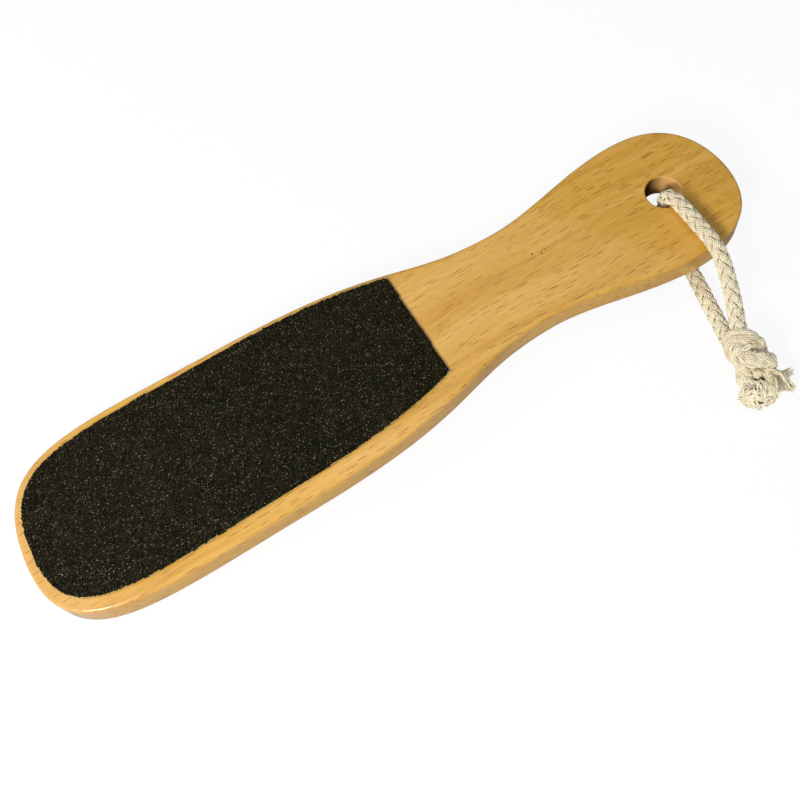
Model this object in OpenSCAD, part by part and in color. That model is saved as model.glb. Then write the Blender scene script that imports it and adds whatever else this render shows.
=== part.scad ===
// Wooden foot file: a one-piece beech paddle with an abrasive sheet glued to each
// side of its head, and a knotted cotton cord through its handle end. It lies on a
// table with its head down, where the cord under the handle props it up a little.
// The origin is on the table, under the middle of the paddle. X runs towards the
// handle, Y across the file and Z up.

/* [Wooden paddle] */
// Length of the wood from the tip of the head to the end of the handle
wood_length = 240; // [228:1:252]
// Thickness of the wood
wood_thickness = 9.4; // [8:0.1:11]
// Width of the head where it is widest
head_width = 56.4; // [52:0.1:62]
// Width of the neck where it is narrowest
neck_width = 34.4; // [30:0.1:40]
// Width of the handle end where it is widest
handle_width = 49.6; // [44:0.1:54]
// Distance from the tip to the widest place of the head
head_reach = 72.6; // [62:0.1:84]
// Distance from the tip to the narrowest place of the neck
neck_reach = 160.7; // [150:0.1:170]
// Distance from the tip to the widest place of the handle end
handle_reach = 213.5; // [206:0.1:220]
// Radius of the rounded rim along both faces
rim_round = 1; // [0.4:0.1:1.6]

/* [Hanging hole] */
// Diameter of the drilled hole
hole_d = 12; // [11:0.1:14]
// Distance from the middle of the hole to the end of the handle
hole_inset = 23.7; // [20:0.1:27]

/* [Abrasive sheets] */
// Strip of bare wood left around the sheets
sheet_border = 3.6; // [2:0.1:5]
// Distance from the tip of the wood to the straight cut of the sheets
sheet_reach = 125.2; // [110:0.1:135]
// How far the front sheet is glued towards the tip
front_slip_along = 1.2; // [0:0.1:1.5]
// How far the front sheet is glued to the side
front_slip_across = 1.3; // [-1.5:0.1:1.5]
// Turn of the front sheet on the wood, in degrees
front_turn = 1; // [-1:0.1:1]
// Thickness of the film of glue
adhesive_t = 0.15; // [0.1:0.05:0.3]
// Thickness of the backing sheet
backing_t = 0.35; // [0.2:0.05:0.6]
// Thickness of the coat of grains
grit_t = 0.4; // [0.2:0.05:0.8]

/* [Cord] */
// Diameter of the plaited cord
cord_d = 5.4; // [4.6:0.1:5.4]
// Clear gap between the cord and the back of the wood at the hole
cord_gap = 0.4; // [0.3:0.05:0.8]
// Length of the knot, from side to side across the legs
knot_length = 15.5; // [14:0.5:17]
// Diameter of the knot
knot_d = 12.2; // [11.4:0.1:13.2]
// Length of the bushy end, from inside the knot
tuft_length = 14.5; // [13:0.5:16]
// Diameter of the bushy end
tuft_d = 10.2; // [9:0.1:11]
// Length of the splayed end, from inside the knot
fan_length = 12.5; // [11:0.5:14]
// Diameter of the splayed end where it is widest
fan_d = 7.6; // [6.6:0.1:8.4]
// Diameter of both ends where the knot grips them
gripped_d = 4.4; // [3:0.1:4.6]

/* [Hidden] */

// how far a cut runs past what it cuts
overrun = 1;

// steps of each curved span of the outline, and of a quarter turn of the rim
span_steps = 16;
rim_steps = 3;

// pull of each curve as a share of the half width or length that it covers
tip_rise_share = 1.14;
tip_run_share = 0.7;
shoulder_shares = [0.65, 0.37];
neck_shares = [0.32, 0.37];
end_shares = [0.92, 0.27];

half_length = wood_length / 2;
half_thick = wood_thickness / 2;
tip = [-half_length, 0];
head = [head_reach - half_length, head_width / 2];
neck = [neck_reach - half_length, neck_width / 2];
handle = [handle_reach - half_length, handle_width / 2];
end = [half_length, 0];
hole_x = half_length - hole_inset;

// the front sheet turns about the middle of its length
sheet_t = adhesive_t + backing_t + grit_t;
sheet_middle = sheet_reach / 2 - half_length;
front_slip = [-front_slip_along, front_slip_across];

// the file lies on the rear sheet's tip and on the cord below the hole
prop = cord_d + cord_gap;
lever = hole_x + half_length - sheet_border;
lean = asin(prop / norm([lever, sheet_t])) - atan(sheet_t / lever);
rise = (half_length - sheet_border) * sin(lean) + (half_thick + sheet_t) * cos(lean);

// the cord's middle line: the upper leg leaves the knot, lies over the front face,
// turns through the hole and comes back to the knot as the rear leg on the table
cord_sides = 12;
cord_route = [
    [86.0, -51.4, 8.1], [86.8, -49.6, 8.6], [88.1, -46.9, 9.2], [89.6, -44.0, 10.2],
    [91.2, -40.3, 11.8], [92.8, -36.0, 13.7], [94.1, -31.8, 15.7], [95.0, -27.2, 17.6],
    [95.4, -22.6, 18.3], [95.6, -18.0, 18.3], [95.7, -13.6, 18.3], [95.7, -9.8, 18.3],
    [95.7, -6.7, 18.2], [95.7, -4.4, 17.5], [95.8, -2.7, 16.0], [95.9, -1.7, 13.9],
    [96.0, -1.4, 11.6], [96.2, -1.6, 9.2], [96.3, -1.9, 6.2], [96.2, -3.6, 3.5],
    [95.6, -7.0, 2.7], [94.6, -10.8, 2.7], [93.4, -15.4, 2.7], [92.2, -20.0, 2.7],
    [91.1, -24.4, 2.7], [90.0, -29.0, 2.7], [88.8, -33.6, 2.7], [87.6, -38.2, 2.7],
    [86.4, -42.6, 2.8], [85.3, -46.4, 3.1], [84.4, -49.4, 3.6]
];

// the knot sits on the table round both ends of the loop, its axis slanting across them
knot_middle = [86, -55.5];
knot_heading = -51;

// both frayed ends start inside the knot, which the legs run through along this heading
leg_heading = -109;
leg_along = [cos(leg_heading), sin(leg_heading)];
leg_across = [-leg_along[1], leg_along[0]];
tuft_depth = 3.2;
tuft_offset = 2.9;
fan_depth = 1.5;
fan_offset = 1.2;
tuft_root = knot_middle + (knot_d / 2 - tuft_depth) * leg_along - tuft_offset * leg_across;
fan_root = knot_middle + (knot_d / 2 - fan_depth) * leg_along + fan_offset * leg_across;
tuft_heading = -105.4;
fan_heading = -64;

// outlines of the round solids: share of the length, share of the greatest radius
knot_shares = [
    [0, 0.5], [0.07, 0.7], [0.2, 0.9], [0.38, 1], [0.62, 1], [0.8, 0.9], [0.93, 0.7], [1, 0.5]
];
tuft_swell_shares = [[0.34, 0], [0.46, 0.6], [0.58, 0.92], [0.72, 1], [0.88, 0.84], [1, 0.4]];
fan_swell_shares = [[0.3, 0], [0.55, 0.5], [0.8, 0.9], [0.94, 1], [1, 0.8]];

// points of a curve between two places with their two pulls, without its last point
function curve(a, b, c, d) = [
    for (i = [0:span_steps - 1])
        let (t = i / span_steps, s = 1 - t)
        s * s * s * a + 3 * s * s * t * b + 3 * s * t * t * c + t * t * t * d
];

// a curve that leaves and meets its two places along the file
function level_curve(a, d, shares) =
    let (run = d[0] - a[0])
    curve(a, a + [run * shares[0], 0], d - [run * shares[1], 0], d);

half_outline = concat(
    curve(
        tip,
        [tip[0], head[1] * tip_rise_share],
        [head[0] - (head[0] - tip[0]) * tip_run_share, head[1]],
        head
    ),
    level_curve(head, neck, shoulder_shares),
    level_curve(neck, handle, neck_shares),
    curve(
        handle,
        [handle[0] + (end[0] - handle[0]) * end_shares[0], handle[1]],
        [end[0], handle[1] * end_shares[1]],
        end
    ),
    [end]
);
last = len(half_outline) - 1;
outline = concat(half_outline, [for (i = [last - 1:-1:1]) [half_outline[i][0], -half_outline[i][1]]]);
count = len(outline);

function unit(v) = v / norm(v);

// the outline drawn in by a distance, along its own normals
function drawn_in(distance) = [
    for (i = [0:count - 1])
        let (along = unit(outline[(i + 1) % count] - outline[(i + count - 1) % count]))
        outline[i] + distance * [along[1], -along[0]]
];

// the wood's rings of points, from its back to its front: how far in, how high
rim = [for (i = [0:rim_steps]) let (a = 90 * i / rim_steps) rim_round * [1 - sin(a), 1 - cos(a)]];
wood_levels = concat(
    [for (r = rim) [r[0], r[1] - half_thick]],
    [for (i = [rim_steps:-1:0]) [rim[i][0], half_thick - rim[i][1]]]
);

// triangles between neighbouring rings of a stack
function wall_faces(rings, sides) = [
    for (j = [0:rings - 2], i = [0:sides - 1])
        let (a = j * sides + i, b = j * sides + (i + 1) % sides)
        each [[a, a + sides, b], [b, a + sides, b + sides]]
];

// triangles that close a ring which is its own mirror image about the X axis
function mirrored_cap(first, up) = [
    for (i = [0:last - 1])
        let (a = first + i, b = a + 1, c = first + count - 1 - i, d = first + (count - i) % count)
        each [
            if (i < last - 1) up ? [a, c, b] : [a, b, c],
            if (i > 0) up ? [a, d, c] : [a, c, d]
        ]
];

// puts what is built about the middle of the wood where it lies on the table
module laid() {
    translate([0, 0, rise]) rotate([0, -lean, 0]) children();
}

module wooden_paddle() {
    top_ring = (len(wood_levels) - 1) * count;
    color([0.86, 0.67, 0.4])
    laid()
    difference() {
        polyhedron(
            points = [for (l = wood_levels) each [for (p = drawn_in(l[0])) [p[0], p[1], l[1]]]],
            faces = concat(
                wall_faces(len(wood_levels), count),
                mirrored_cap(0, false),
                mirrored_cap(top_ring, true)
            )
        );
        translate([hole_x, 0, -half_thick - overrun])
            cylinder(h = wood_thickness + 2 * overrun, d = hole_d, $fn = 96);
    }
}

// one layer of an abrasive sheet: its outline follows the head, cut straight across
module layer(level, thick, slip, turn) {
    laid()
    intersection() {
        translate([sheet_middle + slip[0], slip[1], level])
            rotate([0, 0, turn])
            translate([-sheet_middle, 0, 0])
            linear_extrude(height = thick)
            polygon(drawn_in(sheet_border));
        translate([-half_length, -head_width / 2, level - overrun])
            cube([sheet_reach, head_width, thick + 2 * overrun]);
    }
}

module front_adhesive() {
    color([0.93, 0.9, 0.82]) layer(half_thick, adhesive_t, front_slip, front_turn);
}

module front_backing() {
    color([0.3, 0.24, 0.18]) layer(half_thick + adhesive_t, backing_t, front_slip, front_turn);
}

module front_grit() {
    color([0.12, 0.12, 0.1]) layer(half_thick + adhesive_t + backing_t, grit_t, front_slip, front_turn);
}

module rear_adhesive() {
    color([0.93, 0.9, 0.82]) layer(-half_thick - adhesive_t, adhesive_t, [0, 0], 0);
}

module rear_backing() {
    color([0.3, 0.24, 0.18]) layer(-half_thick - adhesive_t - backing_t, backing_t, [0, 0], 0);
}

module rear_grit() {
    color([0.16, 0.15, 0.13]) layer(-half_thick - sheet_t, grit_t, [0, 0], 0);
}

function heading(path, i) = unit(path[min(i + 1, len(path) - 1)] - path[max(i - 1, 0)]);

// one ring of a cord that runs across X, with a flat side up and one down
function cord_ring(place, along, across, sides) =
    let (side = unit([1, 0, 0] - along[0] * along), over = cross(along, side))
    let (r = across / 2 / cos(180 / sides))
    [
        for (k = [0:sides - 1])
            let (a = (k + 1 / 2) * 360 / sides)
            place + r * (cos(a) * side + sin(a) * over)
    ];

// a cord swept along a route, its ends square to it
module tube(path, across, sides) {
    rings = len(path);
    polyhedron(
        points = [for (i = [0:rings - 1]) each cord_ring(path[i], heading(path, i), across, sides)],
        faces = concat(
            wall_faces(rings, sides),
            [[for (k = [0:sides - 1]) k]],
            [[for (k = [sides - 1:-1:0]) (rings - 1) * sides + k]]
        )
    );
}

module hanging_cord() {
    color([0.93, 0.89, 0.78]) tube(cord_route, cord_d, cord_sides);
}

// a round solid that lies on the table with its axis level, from a place on it
module lying(place, turn, radius, half_outline) {
    translate([place[0], place[1], radius])
        rotate([0, 0, turn])
        rotate([0, 90, 0])
        rotate_extrude($fn = 48)
        polygon(half_outline);
}

module cord_knot() {
    radius = knot_d / 2;
    color([0.91, 0.87, 0.76])
    lying(knot_middle, knot_heading, radius, concat(
        [[0, -knot_length / 2]],
        [for (s = knot_shares) [s[1] * radius, (s[0] - 1 / 2) * knot_length]],
        [[0, knot_length / 2]]
    ));
}

// an end of the cord that swells from where the knot grips it
module frayed_end(root, turn, length, across, swell_shares) {
    grip = gripped_d / 2;
    radius = across / 2;
    color([0.9, 0.85, 0.72])
    lying(root, turn, radius, concat(
        [[0, 0], [grip, 0]],
        [for (s = swell_shares) [grip + s[1] * (radius - grip), s[0] * length]],
        [[0, length]]
    ));
}

module frayed_end_left() {
    frayed_end(tuft_root, tuft_heading, tuft_length, tuft_d, tuft_swell_shares);
}

module frayed_end_right() {
    frayed_end(fan_root, fan_heading, fan_length, fan_d, fan_swell_shares);
}

wooden_paddle();
front_adhesive();
front_backing();
front_grit();
rear_adhesive();
rear_backing();
rear_grit();
hanging_cord();
cord_knot();
frayed_end_left();
frayed_end_right();
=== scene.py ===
import math
import random

import bpy
import bmesh
import numpy as np
from mathutils import Matrix, Vector, noise
from mathutils.geometry import interpolate_bezier


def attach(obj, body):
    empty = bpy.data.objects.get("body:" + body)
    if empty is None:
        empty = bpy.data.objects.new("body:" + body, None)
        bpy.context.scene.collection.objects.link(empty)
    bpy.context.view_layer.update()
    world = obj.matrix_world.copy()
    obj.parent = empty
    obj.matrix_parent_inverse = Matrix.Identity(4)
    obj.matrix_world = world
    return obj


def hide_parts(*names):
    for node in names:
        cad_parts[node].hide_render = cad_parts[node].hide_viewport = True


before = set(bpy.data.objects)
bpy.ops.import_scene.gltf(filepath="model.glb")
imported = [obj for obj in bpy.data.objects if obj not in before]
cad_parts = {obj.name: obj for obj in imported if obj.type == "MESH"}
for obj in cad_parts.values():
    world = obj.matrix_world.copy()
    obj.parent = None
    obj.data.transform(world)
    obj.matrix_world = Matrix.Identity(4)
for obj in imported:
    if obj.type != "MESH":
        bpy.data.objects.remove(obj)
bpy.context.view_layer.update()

scene = bpy.context.scene
scene.view_settings.view_transform = "Standard"
mm = 0.001


def hexColor(code):
    # an sRGB hex value turned to the linear colour that nodes and lamps take
    parts = [int(code[i:i + 2], 16) / 255 for i in (1, 3, 5)]
    linear = [c / 12.92 if c <= 0.04045 else ((c + 0.055) / 1.055) ** 2.4 for c in parts]
    return (*linear, 1.0)


def cellScale(*sizes):
    # the scale of a pattern whose cells have these sizes in mm, one for all ways or three
    scales = [1 / (size * mm) for size in sizes]
    return scales if len(scales) > 1 else scales[0]


def addNode(tree, kind, sockets=None, **settings):
    # a socket goes by its name or its number: on Map Range 1 and 2 are from, 3 and 4 are to
    item = tree.nodes.new("ShaderNode" + kind)
    for name, value in settings.items():
        setattr(item, name, value)
    for name, value in (sockets or {}).items():
        if isinstance(value, bpy.types.NodeSocket):
            tree.links.new(value, item.inputs[name])
        else:
            item.inputs[name].default_value = value
    return item


def newMaterial(name):
    material = bpy.data.materials.new(name)
    material.use_nodes = True
    tree = material.node_tree
    return material, tree, tree.nodes["Principled BSDF"]


def setRamp(rampNode, stops):
    ramp = rampNode.color_ramp
    while len(ramp.elements) > len(stops):
        ramp.elements.remove(ramp.elements[-1])
    while len(ramp.elements) < len(stops):
        ramp.elements.new(1)
    for element, (place, code) in zip(ramp.elements, stops):
        element.position = place
        element.color = hexColor(code)


def newObject(name, mesh, material, body, replaced=()):
    piece = bpy.data.objects.new(name, mesh)
    scene.collection.objects.link(piece)
    mesh.materials.clear()
    mesh.materials.append(material)
    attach(piece, body)
    if replaced:
        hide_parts(*replaced)
    return piece


# the camera stands where the photograph was taken from
view = {
    "place": (-0.053597, -0.126014, 0.274053),
    "turn": (33.0919, 1.9695, -31.3836),
    "lens": 44.2123,
    "shift": (-0.05375, -0.2),
}
cameraData = bpy.data.cameras.new("camera")
cameraData.sensor_width = 36
cameraData.lens = view["lens"]
cameraData.shift_x, cameraData.shift_y = view["shift"]
cameraData.clip_start, cameraData.clip_end = 0.01, 10
camera = bpy.data.objects.new("camera", cameraData)
camera.location = view["place"]
camera.rotation_euler = [math.radians(a) for a in view["turn"]]
scene.collection.objects.link(camera)
scene.camera = camera

# sizes in mm: blotches of tone as wide as a few yarns, and the relief of the single fibres; darkest is how
# far the deepest points go towards the painted shade colour
cotton = {"blotch": 3.846, "fibre": 0.1923, "relief": 0.1, "darkest": 0.85}


def cottonMaterial(name, light, dark, deep):
    # undyed cotton yarn: matt and soft; down between the yarns it is painted warmer and darker, as painted
    # shade
    material, tree, shader = newMaterial(name)
    place = addNode(tree, "TexCoord").outputs["Object"]
    blotch = addNode(tree, "TexNoise", {
        "Vector": place, "Scale": cellScale(cotton["blotch"]), "Detail": 2})
    fibre = addNode(tree, "TexNoise", {
        "Vector": place, "Scale": cellScale(cotton["fibre"]), "Detail": 2})
    ramp = addNode(tree, "ValToRGB", {"Fac": blotch.outputs["Fac"]})
    setRamp(ramp, [(0.3, dark), (0.62, light)])
    # a mesh may carry how deep each point lies among its yarns, from 0 outside to 1, and the deeper points
    # get more painted shade
    depth = addNode(tree, "Attribute", attribute_name="depth")
    share = addNode(tree, "MapRange", {
        "Value": depth.outputs["Fac"], 1: 0.25, 2: 1.0, 3: 0.0, 4: cotton["darkest"]})
    paintedShadeMix = addNode(tree, "Mix", {
        "Factor": share.outputs[0], "A": ramp.outputs["Color"], "B": hexColor(deep)}, data_type="RGBA")
    bump = addNode(tree, "Bump", {
        "Height": fibre.outputs["Fac"], "Strength": 0.5, "Distance": cotton["relief"] * mm})
    tree.links.new(paintedShadeMix.outputs["Result"], shader.inputs["Base Color"])
    tree.links.new(bump.outputs["Normal"], shader.inputs["Normal"])
    shader.inputs["Roughness"].default_value = 0.92
    shader.inputs["Specular IOR Level"].default_value = 0.15
    shader.inputs["Sheen Weight"].default_value = 0.25
    shader.inputs["Sheen Roughness"].default_value = 0.5
    return material


# each cotton's last colour is its painted shade colour, for the deepest places between the yarns
plaitedCotton = cottonMaterial("plaited cotton cord", "#f6eed6", "#ece1c0", "#a67c42")
# the loose cotton is the plaited cotton drawn a little lighter, painted light for the loose ends, which
# lie in their own shade
lightenedCotton = cottonMaterial("loose cotton yarn", "#fcf5df", "#f3e9c8", "#b98640")

# lengths in mm: the strands wind at the middle radius and swing out over and in under each other
cord = {
    "diameter": 5.4, "core": 2.4, "lay": 17.0, "strands": 8, "middle": 1.8, "swing": 0.5, "widen": 1.07,
    "yarns": 4, "yarnSpacing": 0.5, "yarnDiameter": 0.59, "step": 0.6, "wobble": 0.05, "seed": 5,
    # a strand's outer yarns lie lower than its middle ones, and spread, most where it's on top
    "arch": 0.1, "archGain": 0.4, "spreadGain": 0.1,
    # the cotton has none of its painted shade at the first of these radii and all of it at the second
    "depthRadii": (2.5, 1.6),
    "fuzz": {"count": 1500, "reach": 1.2, "seed": 7}, "fuzzDiameter": 0.04, "fuzzLowest": 0.05,
}

# the route of the middle line, in mm: the same points as in the part's source
cordRoute = [
    (86.0, -51.4, 8.1), (86.8, -49.6, 8.6), (88.1, -46.9, 9.2), (89.6, -44.0, 10.2),
    (91.2, -40.3, 11.8), (92.8, -36.0, 13.7), (94.1, -31.8, 15.7), (95.0, -27.2, 17.6),
    (95.4, -22.6, 18.3), (95.6, -18.0, 18.3), (95.7, -13.6, 18.3), (95.7, -9.8, 18.3),
    (95.7, -6.7, 18.2), (95.7, -4.4, 17.5), (95.8, -2.7, 16.0), (95.9, -1.7, 13.9),
    (96.0, -1.4, 11.6), (96.2, -1.6, 9.2), (96.3, -1.9, 6.2), (96.2, -3.6, 3.5),
    (95.6, -7.0, 2.7), (94.6, -10.8, 2.7), (93.4, -15.4, 2.7), (92.2, -20.0, 2.7),
    (91.1, -24.4, 2.7), (90.0, -29.0, 2.7), (88.8, -33.6, 2.7), (87.6, -38.2, 2.7),
    (86.4, -42.6, 2.8), (85.3, -46.4, 3.1), (84.4, -49.4, 3.6),
]


def smoothLine(points, step):
    # a smooth line through the points, then evenly spaced
    p = np.array(points, float)
    ends = np.vstack([2 * p[0] - p[1], p, 2 * p[-1] - p[-2]])
    line = []
    for i in range(len(p) - 1):
        a, b, c, d = ends[i:i + 4]
        for t in np.linspace(0, 1, 12, endpoint=False):
            line.append(0.5 * (2 * b + (c - a) * t + (2 * a - 5 * b + 4 * c - d) * t * t
                               + (3 * b - a - 3 * c + d) * t ** 3))
    line = np.array(line + [p[-1]])
    run = np.concatenate([[0], np.cumsum(np.linalg.norm(np.diff(line, axis=0), axis=1))])
    even = np.linspace(0, run[-1], max(2, int(round(run[-1] / step)) + 1))
    return np.stack([np.interp(even, run, line[:, k]) for k in range(3)], 1), even


def carriedFrames(line):
    # directions along and across a line, turned as little as possible from point to point
    along = np.gradient(line, axis=0)
    along /= np.linalg.norm(along, axis=1)[:, None]
    side = np.cross(along[0], (0, 0, 1))
    side /= np.linalg.norm(side)
    sides = []
    for t in along:
        side = side - t * (side @ t)
        side /= np.linalg.norm(side)
        sides.append(side)
    sides = np.array(sides)
    return along, sides, np.cross(along, sides)


def plaitLines(points, plait, squeeze=1.0):
    # middle lines of all yarns of an eight-strand plait: four strands turn each way,
    # and each goes over and under the others in turn
    rng = random.Random(plait["seed"])
    line, run = smoothLine(points, plait["step"])
    along, across, over = carriedFrames(line)
    broad = across * plait["widen"]
    # the lay, one number or several from end to end, tells how far the strands wind in a step
    lays = np.atleast_1d(plait["lay"])
    lay = np.interp(run / run[-1], np.linspace(0, 1, len(lays)), lays)
    wound = np.cumsum(2 * math.pi * np.gradient(run) / lay)
    lean = np.arctan(2 * math.pi * plait["middle"] / lay)[:, None]
    lines = []
    half = plait["strands"] // 2
    for turn in (1, -1):
        for strand in range(half):
            angle = turn * wound + 2 * math.pi * strand / half
            cosine, sine = np.cos(angle)[:, None], np.sin(angle)[:, None]
            outward, around = cosine * broad + sine * over, cosine * over - sine * broad
            sideways = np.cos(lean) * around - turn * np.sin(lean) * along
            lift = turn * np.cos(half * wound)
            radius = plait["middle"] + plait["swing"] * lift
            arch = plait["arch"] * (1 - plait["archGain"] + plait["archGain"] * lift)
            spread = plait["yarnSpacing"] * (1 + plait["spreadGain"] * lift)
            for yarn in range(plait["yarns"]):
                q = yarn - (plait["yarns"] - 1) / 2
                shake = [rng.uniform(0, 20) for _ in range(3)]
                r, w = (radius - q * q * arch) * squeeze, q * spread * squeeze
                place = line + r[:, None] * outward + w[:, None] * sideways
                # two waves, 3.7 and 1.5 mm long, keep the yarn from lying too straight
                jitter = np.stack([np.sin(run * 1.7 + s) + np.sin(run * 4.1 + 2 * s) for s in shake], 1)
                lines.append(place + plait["wobble"] * 0.5 * jitter)
    return lines


def yarnMesh(name, lines, thickness, rounding=0, taper=0.0):
    # every line becomes a yarn: a bevelled curve made into a mesh, placed in metres;
    # it has four sides, and two more for each step of rounding
    curve = bpy.data.curves.new(name, "CURVE")
    curve.dimensions = "3D"
    curve.bevel_depth = thickness / 2 * mm
    curve.bevel_resolution = rounding
    curve.use_fill_caps = True
    for line in lines:
        spline = curve.splines.new("POLY")
        spline.points.add(len(line) - 1)
        flat = np.ones((len(line), 4))
        flat[:, :3] = np.asarray(line) * mm
        spline.points.foreach_set("co", flat.ravel())
        spline.use_smooth = True
        if taper:
            ends = 1 - taper * np.linspace(0, 1, len(line)) ** 2
            spline.points.foreach_set("radius", ends)
    holder = bpy.data.objects.new(name + "Curve", curve)
    scene.collection.objects.link(holder)
    bpy.context.view_layer.update()
    drawn = holder.evaluated_get(bpy.context.evaluated_depsgraph_get())
    mesh = bpy.data.meshes.new_from_object(drawn)
    bpy.data.objects.remove(holder)
    bpy.data.curves.remove(curve)
    mesh.name = name
    return mesh


def meshFrom(bm, name):
    mesh = bpy.data.meshes.new(name)
    bm.to_mesh(mesh)
    bm.free()
    return mesh


def joinMeshes(name, meshes):
    bm = bmesh.new()
    for part in meshes:
        bm.from_mesh(part)
        bpy.data.meshes.remove(part)
    return meshFrom(bm, name)


def storeDepth(mesh, depth):
    layer = mesh.attributes.new("depth", "FLOAT", "POINT")
    layer.data.foreach_set("value", np.clip(depth, 0, 1).astype(np.float32))


def placesOf(mesh):
    flat = np.empty(len(mesh.vertices) * 3, np.float32)
    mesh.vertices.foreach_get("co", flat)
    return flat.reshape(-1, 3) / mm


def depthUnder(mesh, line, outer, inner):
    # 0 at the outer radius round the line, 1 at the inner one: the depth that sets the painted shade
    places = placesOf(mesh)
    far = np.full(len(places), 1e9)
    for spot in line:
        far = np.minimum(far, ((places - spot) ** 2).sum(1))
    storeDepth(mesh, (outer - np.sqrt(far)) / (outer - inner))


def fuzzMesh(name, lines, count, reach, seed):
    # short loose fibres that stand off the yarns, each one a gentle bow
    rng = random.Random(seed)
    fuzz = []
    for _ in range(count):
        line = rng.choice(lines)
        i = rng.randrange(1, len(line) - 1)
        along = line[i + 1] - line[i - 1]
        along = along / np.linalg.norm(along)
        rise = np.array([rng.gauss(0, 1) for _ in range(3)])
        rise = rise - along * (rise @ along)
        rise = rise / np.linalg.norm(rise)
        bend = np.cross(along, rise) * rng.uniform(-0.7, 0.7) - rise * rng.uniform(0, 0.5)
        slant = rng.uniform(-0.2, 0.9) * along
        t = np.linspace(0, 1, 4)[:, None]
        fibre = line[i] + reach * rng.uniform(0.3, 1.0) * (t * (0.7 * rise + slant) + t * t * bend)
        fibre[:, 2] = np.maximum(fibre[:, 2], cord["fuzzLowest"])
        fuzz.append(fibre)
    return yarnMesh(name, fuzz, cord["fuzzDiameter"])


loopLines = plaitLines(cordRoute, cord)
loopMiddle = smoothLine(cordRoute, cord["step"])[0]
loopMesh = joinMeshes("loopCord", [
    yarnMesh("loopYarns", loopLines, cord["yarnDiameter"], 1),
    yarnMesh("loopCore", [loopMiddle], cord["core"], 3),
    fuzzMesh("loopFuzz", loopLines, **cord["fuzz"]),
])
depthUnder(loopMesh, loopMiddle, *cord["depthRadii"])
loopCord = newObject("loopCord", loopMesh, plaitedCotton, "cord_loop", ["hanging_cord"])
print("cord: loop", len(loopMesh.polygons), "faces")

# the knot: one leg is tied round the other; points run along, across and up from its middle, in mm
knot = {
    "middle": (86.0, -55.5, 6.1), "heading": -109.0, "squeeze": 0.93,
    "plait": {"step": 0.4, "yarns": 5, "yarnSpacing": 0.48, "yarnDiameter": 0.59, "arch": 0.1},
    "depthRadii": (2.2, 1.5), "fuzz": {"count": 700, "reach": 1.0, "seed": 11},
    "cords": [
        # the upper leg dives under the turns, comes up at the left and goes under again
        {"lay": (17, 24), "way": [
            (-6.6, -1.2, 2.8), (-4.2, -1.2, 0.6), (-2.0, -2.6, 1.6), (-0.4, -3.9, 2.6), (1.4, -4.3, 1.5),
            (2.8, -3.3, -0.6), (2.6, -1.6, -2.6), (0.8, 1.0, -3.1), (-1.0, 3.0, -1.6)]},
        # two turns side by side over the top, pulled smooth
        {"lay": (15, 17, 60, 60, 40), "swing": 0.22, "way": [
            (-0.4, 0.8, -1.4), (-1.2, 2.0, 0.6), (-2.1, 1.9, 2.4), (-3.4, 0.2, 3.5),
            (-4.8, -2.2, 2.9), (-5.0, -4.1, 0.4), (-4.0, -4.0, -2.0), (-2.0, -2.6, -3.0)]},
        {"lay": (22, 40, 60, 40), "swing": 0.22, "way": [
            (-0.4, 1.6, 1.0), (-1.3, 0.6, 3.0), (-2.6, -1.8, 3.5), (-3.0, -4.0, 2.2),
            (-1.6, -4.8, -0.6), (0.2, -3.8, -2.7)]},
        # the bend that shows behind them at the right
        {"lay": (16, 16), "way": [
            (2.6, 1.0, -1.6), (1.2, 2.5, 0.3), (-0.4, 3.2, 1.3), (-1.8, 2.7, 0.8), (-2.8, 1.2, -1.0)]},
        # the last turn, plait showing, runs out as the right end
        {"lay": (15, 14), "size": 1.13, "way": [
            (0.8, -2.8, 0.0), (2.3, -2.3, 2.2), (4.0, -1.0, 2.9), (4.6, 1.4, 2.8),
            (4.5, 3.4, 1.9), (4.8, 4.4, 0.2), (5.3, 3.9, -1.6), (5.8, 2.4, -2.4)]},
        {"lay": (14, 14), "size": 0.95, "way": [
            (5.2, 3.6, -1.2), (5.7, 2.6, -2.0), (6.2, 1.4, -2.0), (7.0, 0.6, -1.4), (8.9, 0.1, -1.3)]},
        # the rear leg runs straight through to the left end
        {"lay": (15, 12), "size": 1.08, "way": [
            (-6.6, -3.6, -2.6), (-4.5, -2.8, -1.8), (-1.0, -1.0, -0.8), (2.4, -1.4, -1.0),
            (4.4, -2.6, -1.6), (6.2, -3.5, -2.0), (8.2, -3.8, -2.2), (9.3, -3.6, -2.2)]},
    ],
    # one slack yarn stands up out of the plait as a small closed loop
    "ring": {"middle": (1.0, -2.2, 5.3), "long": (-0.42, 1.12, 0.3), "wide": (0.42, 0.3, 0.1),
             "start": -0.3, "points": 25, "diameter": 0.75},
}
knotTurn = math.radians(knot["heading"])
knotFrame = np.array([
    (math.cos(knotTurn), math.sin(knotTurn), 0),
    (-math.sin(knotTurn), math.cos(knotTurn), 0),
    (0, 0, 1),
])


def fromKnot(points):
    return np.array(knot["middle"]) + np.array(points, float) @ knotFrame


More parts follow.
